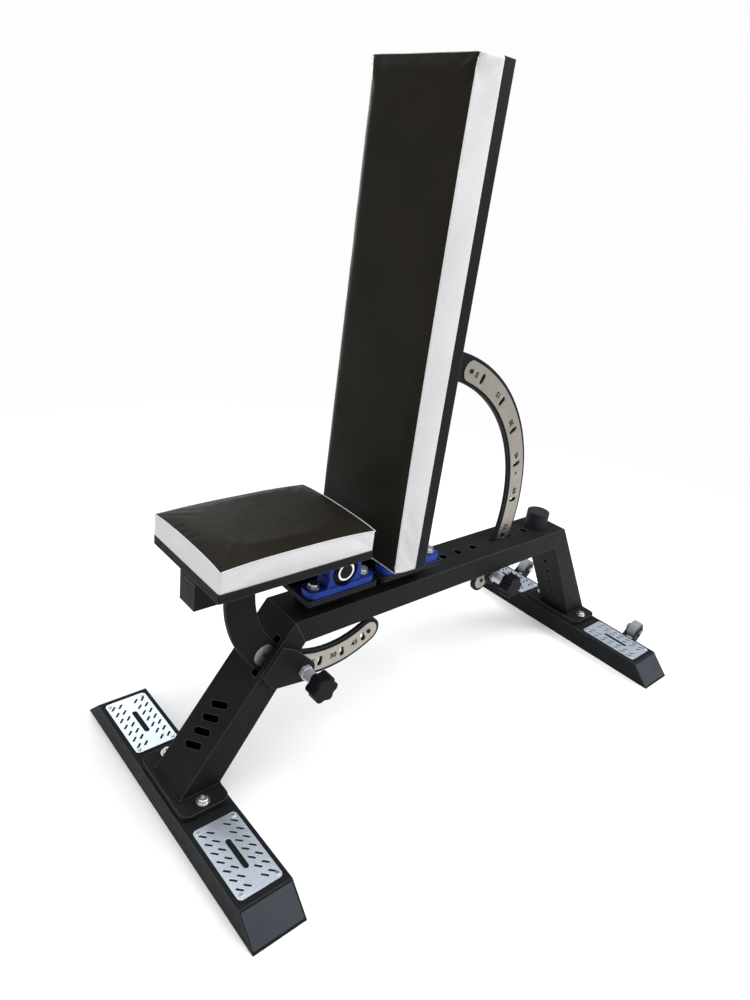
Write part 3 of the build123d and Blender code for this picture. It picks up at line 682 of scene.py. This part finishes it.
def add_numbers():
    """Each mark stands before its slot: its angle is the first slot's, plus whole steps, plus an offset."""
    seat_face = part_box("seat_scale")[1].x
    for mark in range(0, 46, SCALE_STEP):
        angle = SEAT_FIRST_SLOT + mark - 6.1
        scale_number(str(mark), "seat", "seat_tilt", SEAT_MARK_RADIUS, angle, seat_face)
    back_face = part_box("backrest_scale")[1].x
    for mark in range(0, 76, SCALE_STEP):
        angle = BACK_FIRST_SLOT - mark + 3.6
        scale_number(str(mark), "backrest", "backrest_tilt", BACK_MARK_RADIUS, angle, back_face)


# ---------------------------------------------------------------- welds

def add_welds():
    """Beads round the feet of the legs and along both sides of the bearing pedestals."""
    spine_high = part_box("spine")[1]
    half = spine_high.x
    plate_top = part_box("base_plates")[1].z
    for name in ("front_leg", "rear_leg"):
        leg = frame["nodes"][name].data
        foot = [v.co for v in leg.vertices if v.co.z < plate_top + 1e-4 and abs(v.co.x) > half - 1e-4]
        y_low, y_high = min(co.y for co in foot), max(co.y for co in foot)
        corners = ((-half, y_low), (half, y_low), (half, y_high), (-half, y_high))
        around = [(x, y, plate_top) for x, y in corners]
        weld(f"{name}_foot_weld", "frame", [around], 3.4 * MM, closed=True)
    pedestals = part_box("bearing_pedestals")
    for side, x in (("left", -pedestals[1].x), ("right", pedestals[1].x)):
        run = [(x, pedestals[0].y, spine_high.z), (x, pedestals[1].y, spine_high.z)]
        weld(f"pedestal_weld_{side}", "frame", [run], 2.2 * MM)


# ---------------------------------------------------------------- build

MATERIALS = {
    "black_coat": powder_coat(),
    # Painted sheen: the same black coat made paler on the sloped crossbar ends, standing in for light they catch.
    "sloped_ends_painted_sheen": powder_coat("sloped_end_painted_sheen_coat", (0.039, 0.045, 0.054), (0.057, 0.065, 0.077)),
    "zinc": metal("zinc", (0.42, 0.43, 0.43), (0.66, 0.66, 0.64), (0.26, 0.42)),
    "tread": metal("tread", (0.62, 0.7, 0.81), (0.78, 0.85, 0.95), (0.34, 0.5), (1, 30, 1), scale=20),
    "stainless": metal(
        "stainless", (0.27, 0.25, 0.215), (0.36, 0.335, 0.295), (0.3, 0.46), (1, 1, 22), scale=24
    ),
    "housing_blue": housing_enamel(),
    "bearing_steel": metal("bearing_steel", (0.5, 0.48, 0.44), (0.74, 0.72, 0.68), (0.16, 0.3)),
    "chrome": metal("chrome_plate", (0.46, 0.49, 0.52), (0.6, 0.62, 0.64), (0.28, 0.4), metallic=0.55),
    "black_plastic": plastic("black_plastic", (0.0045, 0.0045, 0.0055), (0.009, 0.009, 0.0105), gloss=0.05),
    "rubber": plastic(
        "bumper_rubber", (0.01, 0.0115, 0.0135), (0.017, 0.019, 0.021), (0.55, 0.7), 600, 0.15 * MM
    ),
    "wheel_plastic": plastic("wheel_plastic", (0.17, 0.19, 0.2), (0.24, 0.26, 0.27), (0.4, 0.55)),
    "vinyl_dark": vinyl(
        "vinyl_dark", (0.0108, 0.0092, 0.0068), (0.016, 0.0136, 0.01), (0.36, 0.48), gloss=0.05
    ),
    "vinyl_pale": vinyl("vinyl_pale", (0.56, 0.56, 0.565), (0.65, 0.65, 0.65), (0.42, 0.56), 0.05),
    "plywood": plywood(),
    "ink": plastic(
        "ink", (0.004, 0.004, 0.004), (0.008, 0.008, 0.008), (0.5, 0.6), radius=0.02 * MM, gloss=0.05
    ),
    "thread": plastic("thread", (0.02, 0.018, 0.016), (0.035, 0.03, 0.027), (0.6, 0.75), 2500),
}

add_camera()
add_studio()
add_floor()
for part in frame["record"]["subparts"]:
    name = part["node"]
    if part["material_slot"] == "vinyl":
        continue
    # The crossbar ends get the paler coat with painted sheen; the real coat is the same black.
    finish = MATERIALS["sloped_ends_painted_sheen" if name == "crossbar_ends" else part["material_slot"]]
    mesh = frame["nodes"][name].data
    if mesh.materials:
        mesh.materials[0] = finish
    else:
        mesh.materials.append(finish)
upholster(
    "seat_cushion",
    "seat_pad",
    "seat",
    panel_axis=2,
    panel_sign=1,
    step=5 * MM,
    sink=3 * MM,
    inset=0.5 * MM,
    cap=9 * MM,
    pinch=6 * MM,
)
upholster(
    "backrest_cushion",
    "backrest_pad",
    "backrest",
    panel_axis=1,
    panel_sign=-1,
    step=6.5 * MM,
    sink=1 * MM,
    inset=0.3 * MM,
    cap=8 * MM,
    pinch=1 * MM,
    narrow=4 * MM,
)
add_numbers()
add_welds()
